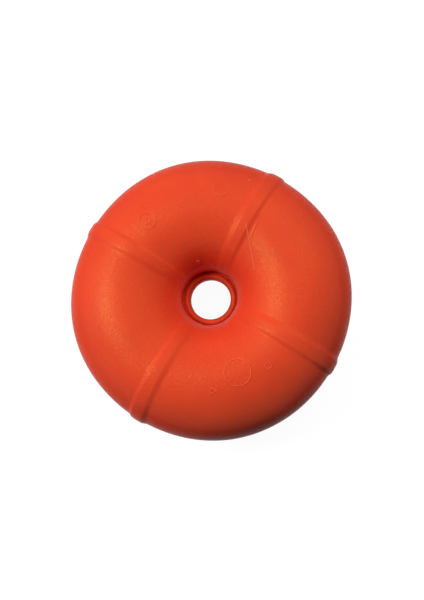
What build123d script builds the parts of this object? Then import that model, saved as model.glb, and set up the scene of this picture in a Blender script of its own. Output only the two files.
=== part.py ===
from build123d import *
from math import cos, pi, radians, sin, sqrt
import os

# A moulded ring float: two half shells lapped at the mid-plane, filled with foam, with a bush
# through the middle for a line, a vent plug on the front and a screw plug on the back.
# Millimetres. The ring's axis is Z, its mid-plane is Z = 0 and its front is +Z.

# Ring
ring_radius = 90.0  # axis to the middle of the tube
tube_radius = 60.0  # outside of the skin
wall = 3.0  # thickness of the skin

# Bands, which run right round the tube
band_count = 4
band_rise = 2.3
band_rim_width = 19.0  # across the band at the ring's rim
band_neck_width = 13.0  # across the band at the neck
band_round = 1.8  # rounding of the band's shoulders

# Lap joint between the half shells
lap_depth = 5.0
lap_clearance = 0.15

# Clearances that several pieces share
seat_clearance = 0.3  # from the skin to the foam and to the bush
running_clearance = 0.06  # round a shank in its bore

# Foam core
foam_flat_depth = 0.3  # the flat's depth under the foam's rim

# Bush through the middle
bush_thickness = 7.7  # from the neck to the bore
land_middle = 15.0  # how far the bore's straight land lies behind the mid-plane
land_length = 8.0
lip_thickness = 6.0  # from the neck to the bush's mouth on the front
lip_depth = 8.0  # the lip's edges behind the mid-plane; its crown stands higher
groove_width = 1.7  # from the lip to the neck
groove_depth = 3.0  # under the lip's edge
bush_collar = 1.0  # how far the bush reaches outside the neck's radius
flange_reach = 10.0  # from the neck to the flange's edge
flange_depth = 36.0  # how far the flange's back lies behind the mid-plane
flange_slope_depth = 26.0  # where the flange leaves the bush's tube
flange_edge = 2.6
flare_reach = 4.0  # from the neck to the bush's mouth on the back

# Vent plug on the front
vent_reach = 6.0  # from the neck to the vent's middle
vent_angle = 135.0
vent_head_radius = 3.1
vent_head_height = 1.5
vent_head_round = 0.8
vent_seat_depth = 0.7  # the flat seat's depth under the skin
vent_shank_radius = 1.7
vent_shank_length = 8.0
vent_boss_radius = 5.0
vent_boss_height = 3.0  # inside the skin
vent_gap = 0.2  # round the head in its seat

# Screw plug on the back
fill_reach = 22.0  # from the neck to the plug's middle
fill_angle = 315.0
pocket_gap = 0.6  # round the socket's flange in its pocket
pocket_floor = 3.0
pocket_wall = 3.0
head_recess = 1.8  # the plug's head lies this deep under the skin
head_radius = 10.0
head_height = 3.2
head_round = 0.7
slot_length = 14.0
slot_width = 2.4
slot_depth = 1.6
shank_radius = 6.0
shank_length = 13.0
seal_radius = 9.6
seal_thickness = 1.2
seal_gap = 0.3  # round the shank inside the seal
socket_flange_radius = 12.5
socket_flange_thickness = 2.0
socket_tube_radius = 9.0
socket_tube_length = 13.0
thread_pitch = 3.0
plug_turns = 3

# Worked out
neck_radius = ring_radius - tube_radius
bore_radius = neck_radius - bush_thickness
lip_radius = neck_radius - lip_thickness
flange_radius = neck_radius + flange_reach
flare_radius = neck_radius + flare_reach
vent_place_radius = neck_radius + vent_reach
fill_place_radius = neck_radius + fill_reach
foam_radius = tube_radius - wall - seat_clearance
rim_radius = ring_radius + tube_radius
reach = tube_radius + 2 * band_rise + wall  # clears the ring in Z
land_top = land_length / 2 - land_middle
land_bottom = land_top - land_length
pocket_radius = socket_flange_radius + pocket_gap
pocket_depth = head_recess + head_height + seal_thickness + socket_flange_thickness
boss_radius = pocket_radius + pocket_wall
boss_depth = pocket_depth + pocket_floor
socket_face = socket_flange_thickness - pocket_depth  # the flange's face, from the skin
socket_reach = socket_flange_thickness + socket_tube_length
head_seat = socket_face + seal_thickness


def band_form(inset):
    """One band as a thick disc on +X with rounded shoulders, its faces moved in by inset."""
    widening = (band_rim_width - band_neck_width) / (2 * tube_radius)
    start = neck_radius / 2
    stop = rim_radius + 2 * band_rise
    start_half = (band_neck_width + widening * (start - neck_radius)) / 2 - inset
    stop_half = (band_neck_width + widening * (stop - neck_radius)) / 2 - inset
    with BuildPart() as band:
        with BuildSketch(Plane.XZ):
            with Locations((ring_radius, 0)):
                Circle(tube_radius + band_rise - inset)
        revolve(axis=Axis.Z)
        with BuildSketch(Plane.XY.offset(-reach)):
            with BuildLine():
                Polyline(
                    (start, start_half),
                    (stop, stop_half),
                    (stop, -stop_half),
                    (start, -start_half),
                    close=True,
                )
            make_face()
        extrude(amount=2 * reach, mode=Mode.INTERSECT)
        flanks = band.faces().filter_by(GeomType.PLANE)
        fillet(flanks.edges(), min(band_round, band_rise - 0.2))
    return band.part


def tube_form(inset):
    """The ring without its bands as a solid, its face moved in by inset."""
    with BuildPart() as form:
        with BuildSketch(Plane.XZ):
            with Locations((ring_radius, 0)):
                Circle(tube_radius - inset)
        revolve(axis=Axis.Z)
    return form.part


def ring_form(inset):
    """The ring's whole outline as a solid with its bands, its faces moved in by inset."""
    tube = tube_form(inset)
    band = band_form(inset)
    with BuildPart() as form:
        add(tube)
        with PolarLocations(0, band_count):
            add(band)
    return form.part


def funnel_plane(radius, angle, side):
    """A plane on the funnel's skin on the front (side 1) or back (side -1), facing outwards."""
    around = Vector(cos(radians(angle)), sin(radians(angle)), 0)
    inwards = (ring_radius - radius) / tube_radius
    upwards = side * sqrt(1 - inwards**2)
    return Plane(
        origin=around * radius + Vector(0, 0, upwards * tube_radius),
        x_dir=(-around.Y, around.X, 0),
        z_dir=around * -inwards + Vector(0, 0, upwards),
    )


vent_plane = funnel_plane(vent_place_radius, vent_angle, 1)
vent_axis = Axis(vent_plane.origin, vent_plane.z_dir)
fill_plane = funnel_plane(fill_place_radius, fill_angle, -1)
fill_axis = Axis(fill_plane.origin, fill_plane.z_dir)

outside = ring_form(0)
inside = tube_form(wall)

# Front shell: the front half of the skin, with a tongue that laps inside the back shell and a
# boss behind the vent.
with BuildPart() as front_half:
    add(outside)
    split(bisect_by=Plane.XY, keep=Keep.TOP)

tongue = tube_form(wall / 2 + lap_clearance)
with BuildPart() as front_shell:
    add(tongue)
    split(bisect_by=Plane.XY.offset(-lap_depth), keep=Keep.TOP)
    split(bisect_by=Plane.XY, keep=Keep.BOTTOM)
    add(front_half.part)
    add(inside, mode=Mode.SUBTRACT)
    with BuildSketch(vent_plane.offset(-wall - vent_boss_height)):
        Circle(vent_boss_radius)
    extrude(amount=vent_boss_height + wall / 2)
    with BuildSketch(vent_plane.offset(-vent_seat_depth)):
        Circle(vent_head_radius + vent_gap)
    extrude(amount=vent_head_height + vent_boss_radius, mode=Mode.SUBTRACT)
    with BuildSketch(vent_plane.offset(-wall - 2 * vent_boss_height)):
        Circle(vent_shank_radius + running_clearance)
    extrude(amount=wall + 3 * vent_boss_height, mode=Mode.SUBTRACT)
front_shell.part.label = "front_shell"

# Back shell: the back half of the skin, rebated for the tongue, with a round pocket in its
# funnel for the screw plug.
rebate = tube_form(wall / 2)
with BuildPart() as rebate_slice:
    add(rebate)
    split(bisect_by=Plane.XY.offset(-lap_depth - lap_clearance), keep=Keep.TOP)
    split(bisect_by=Plane.XY, keep=Keep.BOTTOM)

with BuildPart() as back_shell:
    add(outside)
    split(bisect_by=Plane.XY, keep=Keep.BOTTOM)
    add(inside, mode=Mode.SUBTRACT)
    add(rebate_slice.part, mode=Mode.SUBTRACT)
    with BuildSketch(fill_plane.offset(-boss_depth)):
        Circle(boss_radius)
    extrude(amount=boss_depth - wall / 2)
    with BuildSketch(fill_plane.offset(-pocket_depth)):
        Circle(pocket_radius)
    extrude(amount=pocket_depth + pocket_radius, mode=Mode.SUBTRACT)
    with BuildSketch(fill_plane.offset(-boss_depth - pocket_floor)):
        Circle(socket_tube_radius + running_clearance)
    extrude(amount=boss_depth, mode=Mode.SUBTRACT)
back_shell.part.label = "back_shell"

# Foam core: fills the skin, with a narrow flat round its rim where its mould parts, and pockets
# for the vent's boss and shank and for the socket.
with BuildPart() as foam_core:
    with BuildSketch(Plane.XZ):
        with Locations((ring_radius, 0)):
            Circle(foam_radius)
        with Locations((ring_radius + foam_radius - foam_flat_depth, 0)):
            Rectangle(
                foam_radius,
                2 * foam_radius,
                align=(Align.MIN, Align.CENTER),
                mode=Mode.SUBTRACT,
            )
    revolve(axis=Axis.Z)
    with BuildSketch(vent_plane.offset(-wall - vent_boss_height - seat_clearance)):
        Circle(vent_boss_radius + seat_clearance)
    extrude(amount=wall + vent_boss_height, mode=Mode.SUBTRACT)
    with BuildSketch(vent_plane.offset(-vent_seat_depth - vent_shank_length - seat_clearance)):
        Circle(vent_shank_radius + seat_clearance)
    extrude(amount=vent_shank_length, mode=Mode.SUBTRACT)
    with BuildSketch(fill_plane.offset(-boss_depth - seat_clearance)):
        Circle(boss_radius + seat_clearance)
    extrude(amount=boss_depth, mode=Mode.SUBTRACT)
    with BuildSketch(fill_plane.offset(socket_face - socket_reach - seat_clearance)):
        Circle(socket_tube_radius + seat_clearance)
    extrude(amount=socket_reach, mode=Mode.SUBTRACT)
foam_core.part.label = "foam_core"

# Bore bush: a bell-mouthed liner with a short straight land. Its outside is the skin's own
# form, bands included, grown by the clearance.
grown = ring_form(-seat_clearance)
with BuildPart() as bore_bush:
    with BuildSketch(Plane.XZ):
        with BuildLine():
            mouth = TangentArc(
                (bore_radius, land_top), (lip_radius, -lip_depth), tangent=(0, 1)
            )
            land = Line(mouth @ 0, (bore_radius, land_bottom))
            flare = TangentArc(
                land @ 1, (flare_radius, -flange_depth), tangent=(0, -1)
            )
            crown = TangentArc(
                mouth @ 1, (neck_radius - groove_width, -lip_depth), tangent=mouth % 1
            )
            Polyline(
                flare @ 1,
                (flange_radius, -flange_depth),
                (flange_radius, flange_edge - flange_depth),
                (neck_radius + bush_collar, -flange_slope_depth),
                (neck_radius + bush_collar, -lip_depth - groove_depth),
                (neck_radius - groove_width, -lip_depth - groove_depth),
                crown @ 1,
            )
        make_face()
    revolve(axis=Axis.Z)
    add(grown, mode=Mode.SUBTRACT)
bore_bush.part.label = "bore_bush"

# Vent plug: a low domed head on a plain shank, pressed into the front funnel.
with BuildPart() as vent_plug:
    with BuildSketch(vent_plane.offset(-vent_seat_depth)):
        Circle(vent_head_radius)
    extrude(amount=vent_head_height)
    fillet(vent_plug.faces().sort_by(vent_axis)[-1].edges(), vent_head_round)
    with BuildSketch(vent_plane.offset(-vent_seat_depth - vent_shank_length)):
        Circle(vent_shank_radius)
    extrude(amount=vent_shank_length)
vent_plug.part.label = "vent_plug"

# Plug socket: a flanged sleeve seated on the pocket's floor.
with BuildPart() as plug_socket:
    with BuildSketch(fill_plane.offset(socket_face - socket_flange_thickness)):
        Circle(socket_flange_radius)
    extrude(amount=socket_flange_thickness)
    with BuildSketch(fill_plane.offset(socket_face - socket_reach)):
        Circle(socket_tube_radius)
    extrude(amount=socket_tube_length)
    with BuildSketch(fill_plane.offset(socket_face - socket_reach)):
        Circle(shank_radius + running_clearance)
    extrude(amount=socket_reach, mode=Mode.SUBTRACT)
plug_socket.part.label = "plug_socket"

# Seal: a flat washer between the socket's flange and the plug's head.
with BuildPart() as plug_seal:
    with BuildSketch(fill_plane.offset(socket_face)):
        Circle(seal_radius)
        Circle(shank_radius + seal_gap, mode=Mode.SUBTRACT)
    extrude(amount=seal_thickness)
plug_seal.part.label = "plug_seal"

# Fill plug: a screw plug with a coin slot across its head.
with BuildPart() as fill_plug:
    with BuildSketch(fill_plane.offset(head_seat)):
        Circle(head_radius)
    extrude(amount=head_height)
    fillet(fill_plug.faces().sort_by(fill_axis)[-1].edges(), head_round)
    with BuildSketch(fill_plane.offset(head_seat + head_height)):
        SlotOverall(slot_length, slot_width)
    extrude(amount=-slot_depth, mode=Mode.SUBTRACT)
    with BuildSketch(fill_plane.offset(head_seat - shank_length)):
        Circle(shank_radius)
    extrude(amount=shank_length)
fill_plug.part.label = "fill_plug"

pieces = [
    front_shell,
    back_shell,
    foam_core,
    bore_bush,
    vent_plug,
    plug_socket,
    plug_seal,
    fill_plug,
]
os.makedirs("parts", exist_ok=True)
for piece in pieces:
    export_step(piece.part, f"parts/{piece.part.label}.step")

# The screw plug's motion: it turns out along this axis and rises by one pitch a turn.
print("plug axis", fill_plane.z_dir, "through", fill_plane.origin)
print("plug lift per radian", thread_pitch / (2 * pi), "over", plug_turns * thread_pitch)
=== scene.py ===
from math import atan2, cos, pi, radians, sin, sqrt

import bmesh
import bpy
from bpy.props import (
    FloatProperty,
    FloatVectorProperty,
    IntProperty,
    PointerProperty,
)
from mathutils import Matrix, Vector
from mathutils.bvhtree import BVHTree


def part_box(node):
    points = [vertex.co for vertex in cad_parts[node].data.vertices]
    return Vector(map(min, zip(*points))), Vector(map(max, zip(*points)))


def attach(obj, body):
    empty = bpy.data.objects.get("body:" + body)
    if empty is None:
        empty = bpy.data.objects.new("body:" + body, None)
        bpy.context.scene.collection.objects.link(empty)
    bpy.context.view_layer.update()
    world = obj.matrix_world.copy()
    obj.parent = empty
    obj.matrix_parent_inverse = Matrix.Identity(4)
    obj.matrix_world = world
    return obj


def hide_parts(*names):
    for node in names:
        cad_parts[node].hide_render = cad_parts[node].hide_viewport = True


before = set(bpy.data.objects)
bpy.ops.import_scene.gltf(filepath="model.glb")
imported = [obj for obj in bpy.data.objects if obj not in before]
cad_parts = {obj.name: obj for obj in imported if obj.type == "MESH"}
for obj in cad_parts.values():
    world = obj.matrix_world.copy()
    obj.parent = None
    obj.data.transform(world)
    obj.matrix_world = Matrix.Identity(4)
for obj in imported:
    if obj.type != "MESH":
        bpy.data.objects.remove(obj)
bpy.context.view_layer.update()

bl_info = {
    "name": "Ring Float",
    "version": (1, 0, 0),
    "blender": (4, 5, 0),
    "location": "View3D > Sidebar > Ring Float",
    "description": "Dresses the moulded ring float and sets its studio",
    "category": "Object",
}

BODY_RING = "ring"
BODY_PLUG = "plug"

# The plain ring, as the solids have it
RING = 0.090  # from the axis to the middle of the tube
TUBE = 0.060  # outside of the skin


def skin_axis(place_radius, angle, side):
    """The point and outward direction on the plain skin at a distance from the ring's axis."""
    inwards = (RING - place_radius) / TUBE
    upwards = side * sqrt(1 - inwards ** 2)
    around = Vector((cos(radians(angle)), sin(radians(angle)), 0))
    point = around * place_radius + Vector((0, 0, upwards * TUBE))
    return point, (around * -inwards + Vector((0, 0, upwards))).normalized()


# Each plug's place: the point on the plain skin, and the outward direction
VENT_POINT, VENT_OUT = skin_axis(0.036, 135, 1)
FILL_POINT, FILL_OUT = skin_axis(0.052, 315, -1)


class RingFloatSizes(bpy.types.PropertyGroup):
    """Sizes of the moulded skin, its bands and its marks"""

    ring_radius: FloatProperty(
        name="Ring radius", description="From the axis to the middle of the tube",
        default=RING, min=0.05, max=0.5, subtype="DISTANCE", unit="LENGTH")
    tube_radius: FloatProperty(
        name="Tube radius", description="Outside of the skin",
        default=TUBE, min=0.02, max=0.2, subtype="DISTANCE", unit="LENGTH")
    wall: FloatProperty(
        name="Skin", description="Thickness of the skin",
        default=0.003, min=0.001, max=0.01, subtype="DISTANCE", unit="LENGTH")
    bands: IntProperty(
        name="Bands", description="Bands round the tube", default=4, min=1, max=12)
    band_rise: FloatProperty(
        name="Band rise", description="How far a band stands over the plain skin",
        default=0.0011, min=0.0, max=0.01, subtype="DISTANCE", unit="LENGTH")
    band_neck_rise: FloatProperty(
        name="Rise at the neck", description="Share of the rise that is left at the neck",
        default=0.35, min=0.0, max=1.0, subtype="FACTOR")
    band_rim_width: FloatProperty(
        name="Band at the rim", description="Width of a band at the ring's rim",
        default=0.0170, min=0.005, max=0.05, subtype="DISTANCE", unit="LENGTH")
    band_neck_width: FloatProperty(
        name="Band at the neck", description="Width of a band at the neck",
        default=0.0120, min=0.005, max=0.05, subtype="DISTANCE", unit="LENGTH")
    band_flank: FloatProperty(
        name="Band flank", description="Width of a band's shoulder on its steeper side",
        default=0.0050, min=0.0005, max=0.01, subtype="DISTANCE", unit="LENGTH")
    band_slope: FloatProperty(
        name="Band slope", description="Width of a band's shoulder on its gentle side",
        default=0.0070, min=0.0005, max=0.015, subtype="DISTANCE", unit="LENGTH")
    lobe_puff: FloatProperty(
        name="Puff", description="How far the skin swells between two bands",
        default=0.0009, min=0.0, max=0.002, subtype="DISTANCE", unit="LENGTH")
    band_dip: FloatProperty(
        name="Dip", description="How far the skin sinks beside a band",
        default=0.0008, min=0.0, max=0.002, subtype="DISTANCE", unit="LENGTH")
    unevenness: FloatProperty(
        name="Unevenness", description="Slow waves left in the moulded skin",
        default=0.00025, min=0.0, max=0.001, subtype="DISTANCE", unit="LENGTH")
    lap: FloatProperty(
        name="Lap", description="Depth of the lap between the half shells",
        default=0.005, min=0.001, max=0.01, subtype="DISTANCE", unit="LENGTH")
    seam_edge: FloatProperty(
        name="Seam edge", description="Broken edge of each half shell at the seam",
        default=0.00025, min=0.0, max=0.001, subtype="DISTANCE", unit="LENGTH")
    mark_height: FloatProperty(
        name="Mark height", description="How far a raised mark stands over the skin",
        default=0.0005, min=0.0, max=0.002, subtype="DISTANCE", unit="LENGTH")


class RingFloatColours(bpy.types.PropertyGroup):
    """Colours of the pieces"""

    skin: FloatVectorProperty(
        name="Skin", description="Orange of the moulded skin", subtype="COLOR",
        size=3, min=0, max=1, default=(0.77, 0.060, 0.020))
    skin_deep: FloatVectorProperty(
        name="Skin, deep", description="Deeper orange that clouds the skin",
        subtype="COLOR", size=3, min=0, max=1, default=(0.73, 0.054, 0.019))
    bush: FloatVectorProperty(
        name="Bush", description="Orange of the bush round the bore", subtype="COLOR",
        size=3, min=0, max=1, default=(0.72, 0.056, 0.021))
    # The marks and the mould lines are paler than the skin: painted highlight, for the light that
    # their raised ridges catch
    mark: FloatVectorProperty(
        name="Raised marks", description="Paler orange of the worn raised marks",
        subtype="COLOR", size=3, min=0, max=1, default=(0.85, 0.11, 0.042))
    line: FloatVectorProperty(
        name="Mould lines", description="Pale orange of the thin lines beside a band",
        subtype="COLOR", size=3, min=0, max=1, default=(0.90, 0.16, 0.062))
    plug: FloatVectorProperty(
        name="Plugs", description="Orange of the vent plug and the screw plug",
        subtype="COLOR", size=3, min=0, max=1, default=(0.74, 0.062, 0.024))
    foam: FloatVectorProperty(
        name="Foam", description="Cream of the closed-cell foam", subtype="COLOR",
        size=3, min=0, max=1, default=(0.84, 0.75, 0.52))
    seal: FloatVectorProperty(
        name="Seal", description="Black of the rubber washer", subtype="COLOR",
        size=3, min=0, max=1, default=(0.012, 0.012, 0.012))


class RingFloatStage(bpy.types.PropertyGroup):
    """Lamps and camera"""

    left_power: FloatProperty(
        name="Left", description="Power of the low soft lamp on the left",
        default=7.2, min=0, subtype="POWER", unit="POWER")
    right_power: FloatProperty(
        name="Right", description="Power of the soft lamp over the far right",
        default=8.0, min=0, subtype="POWER", unit="POWER")
    top_power: FloatProperty(
        name="Top", description="Power of the soft lamp high over the far side",
        default=4.0, min=0, subtype="POWER", unit="POWER")
    sheen_power: FloatProperty(
        name="Sheen", description="Power of the smaller lamp that draws the highlights",
        default=5.2, min=0, subtype="POWER", unit="POWER")
    air: FloatProperty(
        name="Air", description="Strength of the even light from all round",
        default=0.01, min=0, max=2)
    lens: FloatProperty(
        name="Lens", description="Focal length", default=33.23, min=10, max=200,
        subtype="DISTANCE_CAMERA")
    distance: FloatProperty(
        name="Distance", description="From the camera to the ring's middle",
        default=0.600, min=0.2, max=5, subtype="DISTANCE", unit="LENGTH")


# Helpers for node trees


class Wiring:
    """Adds nodes to a tree, left to right, and joins them."""

    def __init__(self, tree):
        self.tree = tree

    def node(self, kind, links=(), **settings):
        """Adds a node; links gives its inputs, by name or number, a value or another node."""
        node = self.tree.nodes.new(kind)
        node.location = (180 * len(self.tree.nodes), 0)
        for key, value in settings.items():
            setattr(node, key, value)
        for name, value in dict(links).items():
            self.put(node.inputs[name], value)
        return node

    def put(self, socket, value):
        if isinstance(value, bpy.types.NodeSocket):
            self.tree.links.new(value, socket)
        elif isinstance(value, bpy.types.Node):
            self.tree.links.new(value.outputs[0], socket)
        elif value is not None:
            socket.default_value = value

    def maths(self, operation, a, b=None, c=None, clamp=False):
        links = {0: a, 1: b, 2: c}
        node = self.node("ShaderNodeMath", links, operation=operation, use_clamp=clamp)
        return node.outputs[0]

    def smooth(self, value, low=0.0, high=1.0, out_low=0.0, out_high=1.0):
        """A value eased from one range to another, and held at its ends."""
        names = ("Value", "From Min", "From Max", "To Min", "To Max")
        links = zip(names, (value, low, high, out_low, out_high))
        node = self.node("ShaderNodeMapRange", links, interpolation_type="SMOOTHSTEP")
        return node.outputs["Result"]

    def around(self, distance, angle, height):
        """The point at a distance from the ring's axis, at an angle round it and a height."""
        x = self.maths("MULTIPLY", distance, self.maths("COSINE", angle))
        y = self.maths("MULTIPLY", distance, self.maths("SINE", angle))
        return self.node("ShaderNodeCombineXYZ", {0: x, 1: y, 2: height}).outputs[0]

    def tint(self, share, colour, other):
        """A colour that goes over to another one as the share rises from 0 to 1."""
        node = self.node("ShaderNodeMix", {"Factor": share}, data_type="RGBA")
        self.put(node.inputs[6], (*colour, 1))
        self.put(node.inputs[7], (*other, 1))
        return node.outputs[2]


def geometry_tree(name, numbers, counts=()):
    """Starts a tree that takes a mesh, the named numbers and counts, and a material."""
    tree = bpy.data.node_groups.new(name, "GeometryNodeTree")
    inputs = [("Geometry", "NodeSocketGeometry")]
    inputs += [(label, "NodeSocketFloat") for label in numbers]
    inputs += [(label, "NodeSocketInt") for label in counts]
    inputs.append(("Material", "NodeSocketMaterial"))
    for label, kind in inputs:
        tree.interface.new_socket(name=label, in_out="INPUT", socket_type=kind)
    tree.interface.new_socket(name="Geometry", in_out="OUTPUT", socket_type="NodeSocketGeometry")
    wire = Wiring(tree)
    return tree, wire, wire.node("NodeGroupInput").outputs


def end_tree(wire, geometry, material):
    """Ends a tree: makes its instances real, and gives the mesh its material."""
    real = wire.node("GeometryNodeRealizeInstances", {"Geometry": geometry})
    dressed = wire.node("GeometryNodeSetMaterial", {"Geometry": real, "Material": material})
    wire.node("NodeGroupOutput", {0: dressed})


def run_tree(source, tree, values, name):
    """Runs a geometry tree on a source object and returns the result as a plain mesh object."""
    modifier = source.modifiers.new(tree.name, "NODES")
    modifier.node_group = tree
    for item in tree.interface.items_tree:
        if item.item_type == "SOCKET" and item.in_out == "INPUT" and item.name in values:
            modifier[item.identifier] = values[item.name]
    depsgraph = bpy.context.evaluated_depsgraph_get()
    depsgraph.update()
    mesh = bpy.data.meshes.new_from_object(source.evaluated_get(depsgraph))
    if len(mesh.polygons) == 0:
        raise RuntimeError(f"the tree {tree.name} made no faces for {name}")
    mesh.name = name
    bpy.data.objects.remove(source)
    result = bpy.data.objects.new(name, mesh)
    bpy.context.scene.collection.objects.link(result)
    return result


def mesh_object(name, points, faces, edges=()):
    """An object with a mesh of its own, in the scene."""
    mesh = bpy.data.meshes.new(name)
    mesh.from_pydata([tuple(p) for p in points], list(edges), list(faces))
    mesh.update()
    thing = bpy.data.objects.new(name, mesh)
    bpy.context.scene.collection.objects.link(thing)
    return thing


def finish_mesh(thing, material, sharp=35):
    """Smooth shading, with sharp edges where faces turn by more than sharp, and a material."""
    mesh = thing.data
    mesh.shade_smooth()
    mesh.set_sharp_from_angle(angle=radians(sharp))
    mesh.materials.clear()
    mesh.materials.append(material)
    return thing


def lathe(name, rows, point, out, steps, radius_at=None):
    """A closed body turned about an axis. rows are (radius, height) from tip to tip, and
    radius_at may change a radius by height and angle."""
    side = out.orthogonal().normalized()
    over = out.cross(side)
    points, faces = [], []
    for radius, height in rows:
        for i in range(steps):
            turn = 2 * pi * i / steps
            r = radius_at(radius, height, turn) if radius_at else radius
            points.append(point + out * height + side * (r * cos(turn)) + over * (r * sin(turn)))
    for j in range(len(rows) - 1):
        for i in range(steps):
            k = (i + 1) % steps
            faces.append((j * steps + i, j * steps + k, (j + 1) * steps + k, (j + 1) * steps + i))
    for j, flip in ((0, True), (len(rows) - 1, False)):
        centre = len(points)
        points.append(point + out * rows[j][1])
        for i in range(steps):
            k = (i + 1) % steps
            ends = (j * steps + i, j * steps + k)
            faces.append((centre, *(reversed(ends) if flip else ends)))
    return mesh_object(name, points, faces)


def face_outwards(thing):
    """Merges doubles and turns every face outwards on a closed mesh."""
    work = bmesh.new()
    work.from_mesh(thing.data)
    bmesh.ops.remove_doubles(work, verts=work.verts, dist=1e-7)
    bmesh.ops.recalc_face_normals(work, faces=work.faces)
    if work.calc_volume(signed=True) < 0:
        bmesh.ops.reverse_faces(work, faces=work.faces)
    work.to_mesh(thing.data)
    work.free()
    thing.data.update()
    return thing


def combine(thing, tool, operation):
    """Cuts a tool body from a piece, or joins it on, and removes the tool."""
    modifier = thing.modifiers.new(operation.title(), "BOOLEAN")
    modifier.operation = operation
    modifier.solver = "EXACT"
    modifier.object = tool
    depsgraph = bpy.context.evaluated_depsgraph_get()
    depsgraph.update()
    mesh = bpy.data.meshes.new_from_object(thing.evaluated_get(depsgraph))
    thing.modifiers.clear()
    thing.data = mesh
    bpy.data.objects.remove(tool)
    return thing


# Materials


def fresh_material(name):
    """A material with its shader joined to the output, and the wiring to add nodes with."""
    material = bpy.data.materials.new(name)
    material.use_nodes = True
    material.node_tree.nodes.clear()
    wire = Wiring(material.node_tree)
    shader = wire.node("ShaderNodeBsdfPrincipled")
    wire.node("ShaderNodeOutputMaterial", {"Surface": shader})
    return material, wire, shader


def moulded_plastic(
    name, colour, deep, rough=0.29, grain=1.0, clouds=18.0, pitch=0.0022, shine=0.30
):
    """Satin moulded plastic: a clouded colour, a fine leather grain and uneven gloss.
    pitch is the grain's, and shine is the level of what a face turned to the eye mirrors."""
    material, wire, shader = fresh_material(name)
    place = wire.node("ShaderNodeTexCoord").outputs["Object"]
    cloud = wire.node("ShaderNodeTexNoise", {"Vector": place, "Scale": clouds, "Detail": 4.0})
    cells = wire.node(
        "ShaderNodeTexVoronoi",
        {"Vector": place, "Scale": 1 / pitch, "Randomness": 1.0},
        feature="SMOOTH_F1",
    )
    fine = wire.node("ShaderNodeTexNoise", {"Vector": place, "Scale": 2.3 / pitch, "Detail": 2.0})
    hollows = wire.maths("MULTIPLY", cells.outputs["Distance"], -0.5)
    relief = wire.maths("ADD", hollows, wire.maths("MULTIPLY", fine.outputs["Fac"], 0.9))
    bump = wire.node("ShaderNodeBump", {"Strength": grain, "Distance": 0.0003, "Height": relief})
    clouded = wire.tint(wire.smooth(cloud.outputs["Fac"], 0.35, 0.65), colour, deep)
    gloss = wire.smooth(fine.outputs["Fac"], 0.3, 0.7, rough - 0.05, rough + 0.07)
    # The sheen fades at a slant, so that the pale floor draws no veil on the rims
    facing = wire.node("ShaderNodeLayerWeight", {"Blend": 0.5}).outputs["Facing"]
    wire.put(shader.inputs["Base Color"], clouded)
    wire.put(shader.inputs["Roughness"], gloss)
    wire.put(shader.inputs["Normal"], bump)
    wire.put(shader.inputs["Specular IOR Level"], wire.smooth(facing, 0.12, 0.50, shine, 0.014))
    shader.inputs["IOR"].default_value = 1.5
    shader.inputs["Specular Tint"].default_value = (1.0, 0.8, 0.25, 1)
    return material


def closed_foam(name, colour):
    """Closed-cell foam: cream, matt, with a fine pattern of cut cells, darker in their hollows as
    painted shade.
    """
    material, wire, shader = fresh_material(name)
    place = wire.node("ShaderNodeTexCoord").outputs["Object"]
    cells = wire.node("ShaderNodeTexVoronoi", {"Vector": place, "Scale": 900.0})
    depth = cells.outputs["Distance"]
    # The colour darkens where the bump sinks: painted shade in the hollows of the cells, laid on
    # their real pattern
    cut = wire.tint(wire.smooth(depth, 0.1, 0.7), [c * 0.82 for c in colour], colour)
    bump = wire.node("ShaderNodeBump", {"Strength": 0.6, "Distance": 0.0004, "Height": depth})
    wire.put(shader.inputs["Base Color"], cut)
    wire.put(shader.inputs["Normal"], bump)
    shader.inputs["Roughness"].default_value = 0.85
    return material


def seal_rubber(name, colour):
    """Matt black rubber with a faint dusty bloom."""
    material, wire, shader = fresh_material(name)
    place = wire.node("ShaderNodeTexCoord").outputs["Object"]
    noise = wire.node("ShaderNodeTexNoise", {"Vector": place, "Scale": 260.0, "Detail": 5.0})
    dust = noise.outputs["Fac"]
    dusty = wire.tint(wire.smooth(dust, 0.4, 0.75), colour, [c * 2.6 for c in colour])
    bump = wire.node("ShaderNodeBump", {"Strength": 0.3, "Distance": 0.0002, "Height": dust})
    wire.put(shader.inputs["Base Color"], dusty)
    wire.put(shader.inputs["Normal"], bump)
    shader.inputs["Roughness"].default_value = 0.7
    return material


def skin_material():
    """The plastic that both half shells share."""
    found = bpy.data.materials.get("moulded skin")
    if found:
        return found
    colours = bpy.context.scene.ring_float_colours
    return moulded_plastic("moulded skin", tuple(colours.skin), tuple(colours.skin_deep))


# Skin

LAP_GAP = 0.00015  # between the tongue of one half shell and the rebate of the other
OUTSIDE_STEPS, LAP_STEPS = 110, 4
FRONT_INSIDE_STEPS, BACK_INSIDE_STEPS = 56, 52
STEPS_AROUND = 480
CROWDING = 0.6  # how far the steps round the ring crowd towards the bands, under 1
DOME = 0.25  # how far a band falls away from its middle to its edge, as a share of its rise
# Shares of the way from the neck to the rim
FULL_RISE = 0.2  # where a band has its full rise
LOBE_FADE = (0.01, 0.22)  # where the lobes begin, and where they are full


def arc_points(radius, start, stop, steps):
    """Points on the tube's section from one angle to another, both ends included."""
    turns = [start + (stop - start) * i / steps for i in range(steps + 1)]
    return [(radius * cos(t), radius * sin(t)) for t in turns]


def dip_angle(radius, depth):
    """The angle of the point on the section that lies a depth below the mid-plane."""
    return atan2(depth, sqrt(radius ** 2 - depth ** 2))


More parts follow.
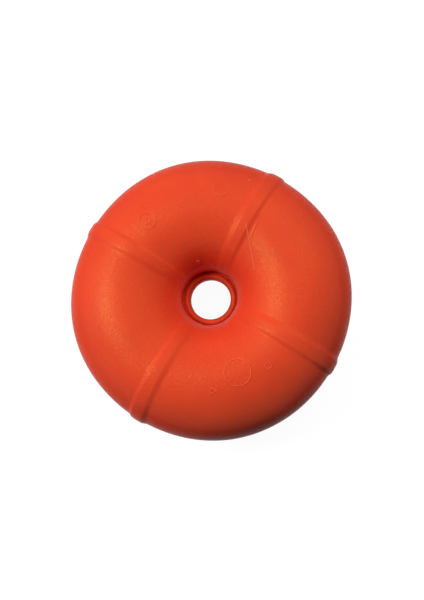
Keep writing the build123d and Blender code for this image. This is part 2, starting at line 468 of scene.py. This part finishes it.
def front_outline(sizes):
    """The front half shell's section: the wall over the front and a tongue at either end."""
    outer = sizes.tube_radius
    inner = outer - sizes.wall
    tongue = outer - sizes.wall / 2 - LAP_GAP
    edge = sizes.seam_edge
    start = dip_angle(outer, edge)
    points = arc_points(outer, start, pi - start, OUTSIDE_STEPS)
    points.append((edge - outer, 0))
    down = dip_angle(tongue, sizes.lap)
    points += arc_points(tongue, pi, pi + down, LAP_STEPS)
    low = dip_angle(inner, sizes.lap)
    points += arc_points(inner, pi + low, -low, FRONT_INSIDE_STEPS)
    points += arc_points(tongue, -down, 0, LAP_STEPS)
    points.append((outer - edge, 0))
    return points


def back_outline(sizes):
    """The back half shell's section, rebated at either end for the tongue."""
    outer = sizes.tube_radius
    inner = outer - sizes.wall
    rebate = outer - sizes.wall / 2
    depth = sizes.lap + LAP_GAP
    edge = sizes.seam_edge
    start = dip_angle(outer, edge)
    points = arc_points(outer, -start, start - pi, OUTSIDE_STEPS)
    points.append((edge - outer, 0))
    down = dip_angle(rebate, depth)
    points += arc_points(rebate, -pi, down - pi, LAP_STEPS)
    low = dip_angle(inner, depth)
    points += arc_points(inner, low - pi, -low, BACK_INSIDE_STEPS)
    points += arc_points(rebate, -down, 0, LAP_STEPS)
    points.append((outer - edge, 0))
    return points


def skin_tree():
    """Sweeps a section round the ring and raises the bands and the puffed lobes on it."""
    numbers = (
        "Ring Radius", "Tube Radius", "Wall", "Crowding", "Band Rise", "Neck Rise", "Rim Width",
        "Neck Width", "Flank", "Slope", "Puff", "Dip", "Unevenness", "Seed",
    )
    tree, wire, given = geometry_tree("Ring Skin", numbers, ("Steps Around", "Bands"))
    count, bands = given["Steps Around"], given["Bands"]

    outline = wire.node("GeometryNodeMeshToCurve", {"Mesh": given["Geometry"]})
    keep_outline = wire.node("GeometryNodeCaptureAttribute")
    keep_outline.capture_items.new("VECTOR", "Section")
    wire.put(keep_outline.inputs[0], outline)
    wire.put(keep_outline.inputs[1], wire.node("GeometryNodeInputPosition"))
    circle = wire.node("GeometryNodeCurvePrimitiveCircle", {"Resolution": count})
    keep_turn = wire.node("GeometryNodeCaptureAttribute")
    keep_turn.capture_items.new("FLOAT", "Turn")
    wire.put(keep_turn.inputs[0], circle)
    index = wire.node("GeometryNodeInputIndex")
    wire.put(keep_turn.inputs[1], wire.maths("DIVIDE", index, count))
    swept = wire.node(
        "GeometryNodeCurveToMesh", {"Curve": keep_turn, "Profile Curve": keep_outline}
    )

    # Angle round the ring, with the steps crowded towards the bands
    turn = wire.maths("MULTIPLY", keep_turn.outputs[1], 2 * pi)
    wave = wire.maths("SINE", wire.maths("MULTIPLY", turn, bands))
    crowd = wire.maths("DIVIDE", wire.maths("MULTIPLY", wave, given["Crowding"]), bands)
    angle = wire.maths("SUBTRACT", turn, crowd)

    # The section point, from the middle of the tube
    section = wire.node("ShaderNodeSeparateXYZ", {0: keep_outline.outputs[1]})
    across, up = section.outputs[0], section.outputs[2]
    length = wire.node("ShaderNodeVectorMath", {0: keep_outline.outputs[1]}, operation="LENGTH")
    reach = length.outputs["Value"]
    from_axis = wire.maths("ADD", given["Ring Radius"], across)

    # How much of a band is here
    half_pitch = wire.maths("DIVIDE", pi, bands)
    off_band = wire.maths("WRAP", angle, half_pitch, wire.maths("MULTIPLY", half_pitch, -1.0))
    sideways = wire.maths("MULTIPLY", from_axis, wire.maths("SINE", off_band))
    beside = wire.maths("ABSOLUTE", sideways)
    neck = wire.maths("SUBTRACT", given["Ring Radius"], given["Tube Radius"])
    share = wire.maths(
        "DIVIDE",
        wire.maths("SUBTRACT", from_axis, neck),
        wire.maths("MULTIPLY", given["Tube Radius"], 2.0),
    )
    widening = wire.maths("SUBTRACT", given["Rim Width"], given["Neck Width"])
    width = wire.maths("MULTIPLY_ADD", share, widening, given["Neck Width"])
    half_width = wire.maths("MULTIPLY", width, 0.5)
    gentle = wire.maths("GREATER_THAN", off_band, 0.0)
    extra = wire.maths("SUBTRACT", given["Slope"], given["Flank"])
    flank = wire.maths("MULTIPLY_ADD", gentle, extra, given["Flank"])
    inside = wire.maths("MULTIPLY_ADD", flank, 0.5, wire.maths("SUBTRACT", half_width, beside))
    on_band = wire.smooth(wire.maths("DIVIDE", inside, flank))
    dome = wire.maths("POWER", wire.maths("DIVIDE", beside, half_width), 2.0)
    domed = wire.maths("MULTIPLY_ADD", dome, -DOME, 1.0)
    rise = wire.maths("MULTIPLY", given["Band Rise"], domed)
    left = wire.smooth(share, 0.0, FULL_RISE, given["Neck Rise"], 1.0)
    rise = wire.maths("MULTIPLY", rise, left)

    # The lobe between two bands, which fades out towards the neck
    ripple = wire.maths("COSINE", wire.maths("MULTIPLY", angle, bands))
    middle = wire.maths("MULTIPLY_ADD", ripple, -0.5, 0.5)
    swing = wire.maths("ADD", given["Puff"], given["Dip"])
    lobe = wire.maths("SUBTRACT", wire.maths("MULTIPLY", middle, swing), given["Dip"])
    fade = wire.smooth(share, *LOBE_FADE)
    waves = wire.node(
        "ShaderNodeTexNoise",
        {"Vector": wire.around(from_axis, angle, up), "W": given["Seed"], "Scale": 16.0,
         "Detail": 1.5},
        noise_dimensions="4D",
    )
    swell = wire.maths("MULTIPLY_ADD", waves, 2.0, -1.0)
    uneven = wire.maths("MULTIPLY", swell, given["Unevenness"])
    soft = wire.maths("MULTIPLY", wire.maths("ADD", lobe, uneven), fade)
    mixed = wire.node("ShaderNodeMix", {"Factor": on_band, 2: soft, 3: rise}, data_type="FLOAT")

    # Only the outside moves: the inside wall and the lap keep their place
    inner = wire.maths("MULTIPLY_ADD", given["Wall"], -0.8, given["Tube Radius"])
    outside = wire.node(
        "ShaderNodeMapRange", {"Value": reach, "From Min": inner, "From Max": given["Tube Radius"]}
    )
    lift = wire.maths("MULTIPLY", mixed, outside)
    grown = wire.maths("DIVIDE", wire.maths("ADD", reach, lift), reach)
    new_axis = wire.maths("MULTIPLY_ADD", across, grown, given["Ring Radius"])
    place = wire.around(new_axis, angle, wire.maths("MULTIPLY", up, grown))
    moved = wire.node("GeometryNodeSetPosition", {"Geometry": swept, "Position": place})
    end_tree(wire, moved, given["Material"])
    return tree


def skin_values(sizes):
    """What the skin's tree is given, by the names of its inputs."""
    return {
        "Ring Radius": sizes.ring_radius,
        "Tube Radius": sizes.tube_radius,
        "Wall": sizes.wall,
        "Steps Around": STEPS_AROUND,
        "Crowding": CROWDING,
        "Bands": sizes.bands,
        "Band Rise": sizes.band_rise,
        "Neck Rise": sizes.band_neck_rise,
        "Rim Width": sizes.band_rim_width,
        "Neck Width": sizes.band_neck_width,
        "Flank": sizes.band_flank,
        "Slope": sizes.band_slope,
        "Puff": sizes.lobe_puff,
        "Dip": sizes.band_dip,
        "Unevenness": sizes.unevenness,
        "Seed": 3.0,
        "Material": skin_material(),
    }


# The plugs' places in the skin, as rows of (radius, height over the skin)
VENT_SEAT = {
    "point": VENT_POINT, "out": VENT_OUT, "steps": 64,
    "boss": [(0.005, -0.006), (0.005, -0.0015)],
    "seat": [(0.0033, -0.0007), (0.0033, -0.00015), (0.0037, 0.0004), (0.0060, 0.004)],
    "hole": [(0.00176, -0.009), (0.00176, 0.001)],
}
PLUG_POCKET = {
    "point": FILL_POINT, "out": FILL_OUT, "steps": 128,
    "boss": [(0.0161, -0.0112), (0.0161, -0.0015)],
    "seat": [(0.0131, -0.0082), (0.0131, -0.0006), (0.0139, 0.0006), (0.0165, 0.006)],
    "hole": [(0.00906, -0.0142), (0.00906, -0.004)],
}


def seat_plug(skin, point, out, steps, boss, seat, hole):
    """Adds a boss behind a plug, and cuts a seat for its head and a hole for its shank."""
    tools = (("boss", boss, "UNION"), ("seat", seat, "DIFFERENCE"), ("hole", hole, "DIFFERENCE"))
    for name, rows, operation in tools:
        tool = face_outwards(lathe(f"{skin.name}_{name}", rows, point, out, steps))
        combine(skin, tool, operation)


class RINGFLOAT_OT_skin(bpy.types.Operator):
    """Sweep the two half shells, raise their bands and seat the plugs"""

    bl_idname = "ring_float.skin"
    bl_label = "Moulded Skin"

    def execute(self, context):
        sizes = context.scene.ring_float_sizes
        tree = skin_tree()
        for name, node, outline, seat in (
            ("front_skin", "front_shell", front_outline(sizes), VENT_SEAT),
            ("back_skin", "back_shell", back_outline(sizes), PLUG_POCKET),
        ):
            count = len(outline)
            points = [(x, 0, z) for x, z in outline]
            edges = [(i, (i + 1) % count) for i in range(count)]
            source = mesh_object(name + "_section", points, [], edges)
            skin = run_tree(source, tree, skin_values(sizes), name)
            face_outwards(skin)
            seat_plug(skin, **seat)
            finish_mesh(skin, skin_material())
            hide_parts(node)
            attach(skin, BODY_RING)
        return {"FINISHED"}


# Bush

BORE = 0.0223  # radius of the straight land that guides the line
BUSH_GAP = 0.0001  # between the bush and the skin in the funnel
BUSH_STEPS = 288


def band_share(sizes, angle, from_axis):
    """How much of a band is at an angle and a distance from the axis, from 0 to 1."""
    pitch = 2 * pi / sizes.bands
    off = (angle + pitch / 2) % pitch - pitch / 2
    beside = abs(from_axis * sin(off))
    neck = sizes.ring_radius - sizes.tube_radius
    share = (from_axis - neck) / (2 * sizes.tube_radius)
    width = sizes.band_neck_width + share * (sizes.band_rim_width - sizes.band_neck_width)
    flank = sizes.band_slope if off > 0 else sizes.band_flank
    t = min(max((width / 2 - beside) / flank + 0.5, 0), 1)
    fade = min(max(share / FULL_RISE, 0), 1)
    left = sizes.band_neck_rise
    left += (1 - left) * fade * fade * (3 - 2 * fade)
    return t * t * (3 - 2 * t) * left


def neck_limit(sizes, angle, height):
    """The skin's distance from the axis in the funnel, less the bush's clearance."""
    reach = sizes.tube_radius
    plain = sizes.ring_radius - sqrt(max(reach ** 2 - height ** 2, 0))
    reach += sizes.band_rise * band_share(sizes, angle, plain)
    return sizes.ring_radius - sqrt(max(reach ** 2 - height ** 2, 0)) - BUSH_GAP


def turned_arc(start, tangent, stop, steps):
    """Points of the arc that leaves start along tangent and ends at stop."""
    a, b = Vector(start), Vector(stop)
    t = Vector(tangent).normalized()
    normal = Vector((-t.y, t.x))
    chord = b - a
    radius = chord.length_squared / (2 * chord.dot(normal))
    centre = a + normal * radius
    first = a - centre
    sweep = first.angle_signed(b - centre) if first.length else 0
    points = []
    for i in range(steps + 1):
        turn = -sweep * i / steps
        points.append((
            centre.x + first.x * cos(turn) - first.y * sin(turn),
            centre.y + first.x * sin(turn) + first.y * cos(turn),
        ))
    return points


class RINGFLOAT_OT_bush(bpy.types.Operator):
    """Turn the bush round the bore, with its rounded lip and its flared back"""

    bl_idname = "ring_float.bush"
    bl_label = "Bore Bush"

    def execute(self, context):
        sizes = context.scene.ring_float_sizes
        colours = context.scene.ring_float_colours
        # The section, as (distance from the axis, height), from the bore up and over the lip
        mouth = turned_arc((BORE, -0.011), (0, 1), (0.0240, -0.008), 10)
        crown = turned_arc((0.0240, -0.008), (0.857, 0.515), (0.0279, -0.008), 12)
        groove = [(0.0281, -0.0084), (0.0284, -0.0091), (0.0288, -0.0095), (0.0294, -0.0096),
                  (0.0300, -0.0095), (0.0304, -0.0097), (0.0307, -0.0102)]
        wall = [(0.031, -0.0110 - 0.00107 * i) for i in range(14)]
        flange = [(0.031, -0.026), (0.0397, -0.0331), (0.04, -0.0334), (0.04, -0.0357),
                  (0.0397, -0.036), (0.0343, -0.036)]
        flare = turned_arc((BORE, -0.019), (0, -1), (0.034, -0.036), 16)
        rows = mouth + crown[1:] + groove + wall + flange + list(reversed(flare))
        points, faces = [], []
        for radius, height in rows:
            for i in range(BUSH_STEPS):
                turn = 2 * pi * i / BUSH_STEPS
                r = min(radius, neck_limit(sizes, turn, height))
                points.append((r * cos(turn), r * sin(turn), height))
        for j in range(len(rows)):
            here, there = j * BUSH_STEPS, (j + 1) % len(rows) * BUSH_STEPS
            for i in range(BUSH_STEPS):
                k = (i + 1) % BUSH_STEPS
                faces.append((here + i, here + k, there + k, there + i))
        bush = face_outwards(mesh_object("line_bush", points, faces))
        material = moulded_plastic(
            "bush plastic", tuple(colours.bush), tuple(c * 0.92 for c in colours.bush),
            rough=0.40, grain=0.12, clouds=40.0, pitch=0.0012)
        finish_mesh(bush, material, 40)
        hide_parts("bore_bush")
        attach(bush, BODY_RING)
        return {"FINISHED"}


# Plugs, each turned from rows of (radius, height over the skin)


def quarter_round(radius, height, across, up):
    """Rows that round a head's edge off, from (radius, height) inwards by across and up."""
    turns = [pi / 2 * i / 6 for i in range(7)]
    return [(radius - across * (1 - cos(t)), height + up * sin(t)) for t in turns]


def plug_material():
    """The plastic that both plugs share."""
    found = bpy.data.materials.get("plug plastic")
    if found:
        return found
    colour = tuple(bpy.context.scene.ring_float_colours.plug)
    return moulded_plastic(
        "plug plastic", colour, tuple(c * 0.9 for c in colour),
        rough=0.34, grain=0.08, clouds=60.0, pitch=0.0010)


class RINGFLOAT_OT_vent_plug(bpy.types.Operator):
    """Turn the small vent plug in the front funnel"""

    bl_idname = "ring_float.vent_plug"
    bl_label = "Vent Plug"

    def execute(self, context):
        shank = [(0.0012, -0.0087), (0.0017, -0.0082), (0.0017, -0.0007), (0.0031, -0.0007)]
        dimple = [(0.0014, 0.00085), (0.0011, 0.00078), (0.0009, 0.0005), (0.0004, 0.0004)]
        rows = shank + quarter_round(0.0031, 0.0001, 0.0009, 0.0007) + dimple
        plug = face_outwards(lathe("vent_stopper", rows, VENT_POINT, VENT_OUT, 64))
        finish_mesh(plug, plug_material())
        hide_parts("vent_plug")
        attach(plug, BODY_RING)
        return {"FINISHED"}


class RINGFLOAT_OT_screw_plug(bpy.types.Operator):
    """Turn the screw plug with its thread and its coin slot"""

    bl_idname = "ring_float.screw_plug"
    bl_label = "Screw Plug"

    def execute(self, context):
        seat = -0.0050  # the head's underside
        top = seat + 0.0032
        pitch, crest, root = 0.003, 0.0060, 0.0053  # of the thread
        thread_top, thread_end = seat - 0.0009, seat - 0.0128

        def thread(radius, height, turn):
            if radius > crest or height > thread_top or height < thread_end:
                return radius
            phase = ((height / pitch) - turn / (2 * pi)) % 1.0
            ridge = min(max(1.6 - abs(phase - 0.5) * 6.0, 0), 1)
            start = min(max((thread_top - height) / 0.0008, 0), 1)
            end = min(max((height - thread_end) / 0.0012, 0), 1)
            return radius + (crest - root) * ridge * start * end

        rows = [(0.0046, seat - 0.013)]
        rows += [(root, thread_end + 0.000125 * i) for i in range(96)]
        rows += [(root, seat), (0.0098, seat), (0.0100, seat + 0.0002)]
        rows += quarter_round(0.0100, top - 0.0007, 0.0007, 0.0007)
        rows += [(0.0082, top), (0.0080, top - 0.0001)]
        plug = face_outwards(lathe("screw_plug", rows, FILL_POINT, FILL_OUT, 96, thread))

        # The coin slot: a bar with round ends, cut into the head
        side = Vector((0, 0, 1)).cross(FILL_OUT).normalized()
        over = FILL_OUT.cross(side)
        half, run = 0.0012, 0.0058
        turns = [pi * i / 12 - pi / 2 for i in range(13)]
        bar = [(run + half * cos(t), half * sin(t)) for t in turns]
        bar += [(-x, -y) for x, y in bar]
        levels = [FILL_POINT + FILL_OUT * height for height in (top - 0.0016, top + 0.001)]
        points = [level + side * x + over * y for level in levels for x, y in bar]
        n = len(bar)
        faces = [tuple(range(n)), tuple(range(n, 2 * n))]
        faces += [(i, (i + 1) % n, n + (i + 1) % n, n + i) for i in range(n)]
        combine(plug, face_outwards(mesh_object("slot_cutter", points, faces)), "DIFFERENCE")
        finish_mesh(plug, plug_material(), 30)
        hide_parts("fill_plug")
        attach(plug, BODY_PLUG)
        return {"FINISHED"}


# Raised marks


def line_tree():
    """Turns paths on the skin into low rounded ridges with closed ends."""
    tree, wire, given = geometry_tree("Raised Line", ("Height", "Width"))
    paths = wire.node("GeometryNodeMeshToCurve", {"Mesh": given["Geometry"]})
    section = wire.node("GeometryNodeCurvePrimitiveCircle", {"Resolution": 12, "Radius": 0.5})
    shape = wire.node("ShaderNodeCombineXYZ", {0: given["Height"], 1: given["Width"], 2: 1.0})
    flat = wire.node("GeometryNodeTransform", {"Geometry": section, "Scale": shape})
    ridge = wire.node(
        "GeometryNodeCurveToMesh", {"Curve": paths, "Profile Curve": flat, "Fill Caps": True}
    )
    end_tree(wire, ridge, given["Material"])
    return tree


def plan_frame(from_axis, angle):
    """A place on the ring seen from the front, and the ways outwards and onwards from it."""
    turn = radians(angle)
    out = Vector((cos(turn), sin(turn), 0))
    return out * from_axis, out, Vector((-sin(turn), cos(turn), 0))


def circle_path(radius, start=0, stop=360, steps=48):
    """Points on a circle, or on its arc from start to stop in degrees."""
    turns = [radians(start + (stop - start) * i / steps) for i in range(steps + 1)]
    return [(radius * cos(t), radius * sin(t)) for t in turns]


def outline_of(*corners):
    """A closed path through corners."""
    return [*corners, corners[0]]


# Each mark's distance from the axis and angle, then its paths as points outwards and onwards
MARKS = {
    "dial": (0.0859, 322.1, [circle_path(0.0128)] + [
        [(0.0096 * cos(t), 0.0096 * sin(t)), (0.0112 * cos(t), 0.0112 * sin(t))]
        for t in (2 * pi * i / 12 for i in range(12))
    ]),
    "disc": (0.0912, 159.3, [circle_path(0.0085), circle_path(0.0030, steps=24)]),
    "bar": (0.0983, 171.7, [[(-0.0050, 0), (0.0050, 0)]]),
    "triangle": (0.0975, 305.7, [outline_of((-0.003, -0.003), (0.003, -0.003), (0, 0.003))]),
    "square": (0.0955, 339.9, [
        outline_of((-0.0026, -0.0026), (0.0026, -0.0026), (0.0026, 0.0026), (-0.0026, 0.0026))
    ]),
    "dot": (0.0839, 301.4, [circle_path(0.0009, steps=16)]),
    "pip": (0.1221, 98.3, [circle_path(0.0009, steps=16)]),
    "end": (0.0540, 54.7, [circle_path(0.0007, steps=16)]),
    "arc": (0.1040, 111.0, [circle_path(0.0080, 60, 250, 24)]),
}

# Thin lines left by the mould, each from one place to another as (distance, angle)
LINES = (
    ((0.0776, 88.0), (0.0540, 54.7)),
    ((0.0828, 82.1), (0.0700, 79.5)),
)

MARK_WIDTH = 0.0014
MARK_STEP = 0.0008  # longest step of a path that is laid on the skin


def laid_on(skin, routes):
    """Lays routes in plan on the skin: gives the points, and the edges that join them."""
    tree = BVHTree.FromPolygons(
        [v.co for v in skin.data.vertices], [p.vertices for p in skin.data.polygons])
    points, edges = [], []
    for spots in routes:
        closed = (spots[0] - spots[-1]).length < 1e-6
        dense = []
        for a, b in zip(spots, spots[1:]):
            steps = max(int((b - a).length / MARK_STEP), 1)
            dense += [a.lerp(b, i / steps) for i in range(steps)]
        if not closed:
            dense.append(spots[-1])
        first = len(points)
        for spot in dense:
            place = tree.ray_cast(Vector((spot.x, spot.y, 0.2)), Vector((0, 0, -1)))[0]
            if place is None:
                raise RuntimeError("a mark lies off the skin")
            points.append(place)
        edges += [(first + i, first + i + 1) for i in range(len(dense) - 1)]
        if closed:
            edges.append((first + len(dense) - 1, first))
    return points, edges


class RINGFLOAT_OT_marks(bpy.types.Operator):
    """Raise plain moulding marks on the front: a dial, a disc, a bar and small shapes"""

    bl_idname = "ring_float.marks"
    bl_label = "Raised Marks"

    def execute(self, context):
        sizes = context.scene.ring_float_sizes
        colours = context.scene.ring_float_colours
        skin = bpy.data.objects["front_skin"]
        ridges = line_tree()
        marks = []
        for from_axis, angle, paths in MARKS.values():
            place, out, onwards = plan_frame(from_axis, angle)
            marks += [[place + out * x + onwards * y for x, y in path] for path in paths]
        lines = [[plan_frame(*end)[0] for end in ends] for ends in LINES]
        for name, colour, routes in (
            ("raised_marks", tuple(colours.mark), marks),
            ("mould_lines", tuple(colours.line), lines),
        ):
            points, edges = laid_on(skin, routes)
            source = mesh_object(name + "_paths", points, [], edges)
            # The paler orange of these ridges is painted highlight, not wear
            deep = tuple(c * 0.94 for c in colour)
            highlit = moulded_plastic(name.replace("_", " "), colour, deep, grain=0.3)
            values = {"Height": 2 * sizes.mark_height, "Width": MARK_WIDTH, "Material": highlit}
            piece = face_outwards(run_tree(source, ridges, values, name))
            finish_mesh(piece, highlit, 60)
            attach(piece, BODY_RING)
        return {"FINISHED"}


# Solids that keep their own shape


class RINGFLOAT_OT_inner_parts(bpy.types.Operator):
    """Give the foam core, the plug's socket and its seal their own finishes"""

    bl_idname = "ring_float.inner_parts"
    bl_label = "Foam, Socket and Seal"

    def execute(self, context):
        colours = context.scene.ring_float_colours
        socket_colour = tuple(c * 0.85 for c in colours.plug)
        finishes = {
            "foam_core": closed_foam("closed foam", tuple(colours.foam)),
            "plug_socket": moulded_plastic(
                "socket plastic", socket_colour, tuple(c * 0.9 for c in socket_colour),
                rough=0.45, grain=0.1, clouds=60.0, pitch=0.0010),
            "plug_seal": seal_rubber("seal rubber", tuple(colours.seal)),
        }
        for node, material in finishes.items():
            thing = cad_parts[node]
            if not thing.data.materials:
                thing.data.materials.append(material)
            for slot in thing.material_slots:
                slot.material = material
        return {"FINISHED"}


# Stage

# The camera: its azimuth, elevation, sideways and upward directions, and shift
VIEW_AZIMUTH, VIEW_ELEVATION = 334.88, 81.12
VIEW_RIGHT = Vector((0.8612, 0.5005, -0.0886))
VIEW_UP = Vector((-0.4887, 0.8633, 0.1263))
VIEW_SHIFT = (0.0040, -0.0034)
VIEW_TURN = 30.16  # from an angle in the view to one round the ring's axis

FLOOR_REACH = 3.0  # from the middle of the floor to its edge
LAMP_DISTANCE = 1.3
LAMP_SIZE = 0.75


def direction(azimuth, elevation):
    """The unit vector towards an azimuth and an elevation in degrees."""
    turn, lift = radians(azimuth), radians(elevation)
    return Vector((cos(turn) * cos(lift), sin(turn) * cos(lift), sin(lift)))


def soft_lamp(
    name, view_angle, elevation, power, distance=LAMP_DISTANCE, size=LAMP_SIZE, shows=False
):
    """A square lamp aimed at the ring's middle; view_angle is seen from the camera, and
    only a lamp that shows is mirrored by the skin."""
    data = bpy.data.lights.new(name, "AREA")
    data.shape = "SQUARE"
    data.size = size
    data.energy = power
    lamp = bpy.data.objects.new(name, data)
    lamp.visible_glossy = shows
    bpy.context.scene.collection.objects.link(lamp)
    lamp.location = direction(view_angle + VIEW_TURN, elevation) * distance
    lamp.rotation_euler = (-lamp.location).to_track_quat("-Z", "Y").to_euler()


def background_rays(wire):
    """1 for the rays that show the background: seen, mirrored or through glass. 0 for others."""
    ray = wire.node("ShaderNodeLightPath").outputs
    shown = wire.maths("ADD", ray["Is Camera Ray"], ray["Is Glossy Ray"], clamp=True)
    return wire.maths("ADD", shown, ray["Is Transmission Ray"], clamp=True)


def pale_floor():
    """A matt floor that keeps the ring's shadow, and is pale where it is seen or mirrored."""
    material = bpy.data.materials.new("pale floor")
    material.use_nodes = True
    material.node_tree.nodes.clear()
    wire = Wiring(material.node_tree)
    grey = wire.node("ShaderNodeBsdfDiffuse", {"Color": (0.20, 0.20, 0.20, 1)})
    shaded = wire.node("ShaderNodeBsdfDiffuse", {"Color": (0.10, 0.10, 0.10, 1)})
    white = wire.node("ShaderNodeEmission", {"Color": (1, 1, 1, 1), "Strength": 0.95})
    pale = wire.node("ShaderNodeAddShader", {0: shaded, 1: white})
    both = wire.node("ShaderNodeMixShader", {0: background_rays(wire), 1: grey, 2: pale})
    wire.node("ShaderNodeOutputMaterial", {"Surface": both})
    return material


def white_world(world, air):
    """White where the world is seen or mirrored, and a faint even light otherwise."""
    world.use_nodes = True
    world.node_tree.nodes.clear()
    wire = Wiring(world.node_tree)
    even = wire.node("ShaderNodeBackground", {"Color": (1, 1, 1, 1), "Strength": air})
    clear = wire.node("ShaderNodeBackground", {"Color": (1, 1, 1, 1), "Strength": 1.0})
    both = wire.node("ShaderNodeMixShader", {0: background_rays(wire), 1: even, 2: clear})
    wire.node("ShaderNodeOutputWorld", {"Surface": both})


class RINGFLOAT_OT_stage(bpy.types.Operator):
    """Set the pale floor, the soft lamps and the camera"""

    bl_idname = "ring_float.stage"
    bl_label = "Stage"

    def execute(self, context):
        scene, stage = context.scene, context.scene.ring_float_stage
        low = min(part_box("back_shell")[0].z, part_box("bore_bush")[0].z)
        corners = [(x * FLOOR_REACH, y * FLOOR_REACH, low)
                   for x, y in ((-1, -1), (1, -1), (1, 1), (-1, 1))]
        floor = mesh_object("floor", corners, [(0, 1, 2, 3)])
        floor.data.materials.append(pale_floor())

        scene.world = scene.world or bpy.data.worlds.new("air")
        white_world(scene.world, stage.air)
        soft_lamp("left", 178, 24, stage.left_power)
        soft_lamp("right", 45, 45, stage.right_power)
        soft_lamp("top", 95, 68, stage.top_power)
        soft_lamp("sheen", 172, 55, stage.sheen_power, distance=1.2, size=0.20, shows=True)

        data = bpy.data.cameras.new("camera")
        data.lens = stage.lens
        data.shift_x, data.shift_y = VIEW_SHIFT
        data.clip_start = 0.01
        camera = bpy.data.objects.new("camera", data)
        scene.collection.objects.link(camera)
        back = direction(VIEW_AZIMUTH, VIEW_ELEVATION) * stage.distance
        turned = Matrix((VIEW_RIGHT, VIEW_UP, VIEW_RIGHT.cross(VIEW_UP))).transposed()
        camera.matrix_world = Matrix.Translation(back) @ turned.to_4x4()
        scene.camera = camera
        scene.view_settings.view_transform = "Standard"
        return {"FINISHED"}


OPERATORS = (
    RINGFLOAT_OT_skin,
    RINGFLOAT_OT_bush,
    RINGFLOAT_OT_vent_plug,
    RINGFLOAT_OT_screw_plug,
    RINGFLOAT_OT_marks,
    RINGFLOAT_OT_inner_parts,
    RINGFLOAT_OT_stage,
)


class RINGFLOAT_PT_panel(bpy.types.Panel):
    """Builds the ring float piece by piece"""

    bl_idname = "RINGFLOAT_PT_panel"
    bl_label = "Ring Float"
    bl_space_type = "VIEW_3D"
    bl_region_type = "UI"
    bl_category = "Ring Float"

    def draw(self, context):
        layout = self.layout
        for group, title in (
            (context.scene.ring_float_sizes, "Sizes"),
            (context.scene.ring_float_colours, "Colours"),
            (context.scene.ring_float_stage, "Stage"),
        ):
            box = layout.box()
            box.label(text=title)
            for name in group.bl_rna.properties.keys():
                if name not in ("rna_type", "name"):
                    box.prop(group, name)
        column = layout.column(align=True)
        for operator in OPERATORS:
            column.operator(operator.bl_idname)


CLASSES = (RingFloatSizes, RingFloatColours, RingFloatStage, *OPERATORS, RINGFLOAT_PT_panel)


def register():
    for item in CLASSES:
        bpy.utils.register_class(item)
    bpy.types.Scene.ring_float_sizes = PointerProperty(type=RingFloatSizes)
    bpy.types.Scene.ring_float_colours = PointerProperty(type=RingFloatColours)
    bpy.types.Scene.ring_float_stage = PointerProperty(type=RingFloatStage)


def unregister():
    del bpy.types.Scene.ring_float_stage
    del bpy.types.Scene.ring_float_colours
    del bpy.types.Scene.ring_float_sizes
    for item in reversed(CLASSES):
        bpy.utils.unregister_class(item)


def main():
    register()
    bpy.ops.ring_float.skin()
    bpy.ops.ring_float.bush()
    bpy.ops.ring_float.vent_plug()
    bpy.ops.ring_float.screw_plug()
    bpy.ops.ring_float.marks()
    bpy.ops.ring_float.inner_parts()
    bpy.ops.ring_float.stage()


if __name__ == "__main__":
    main()
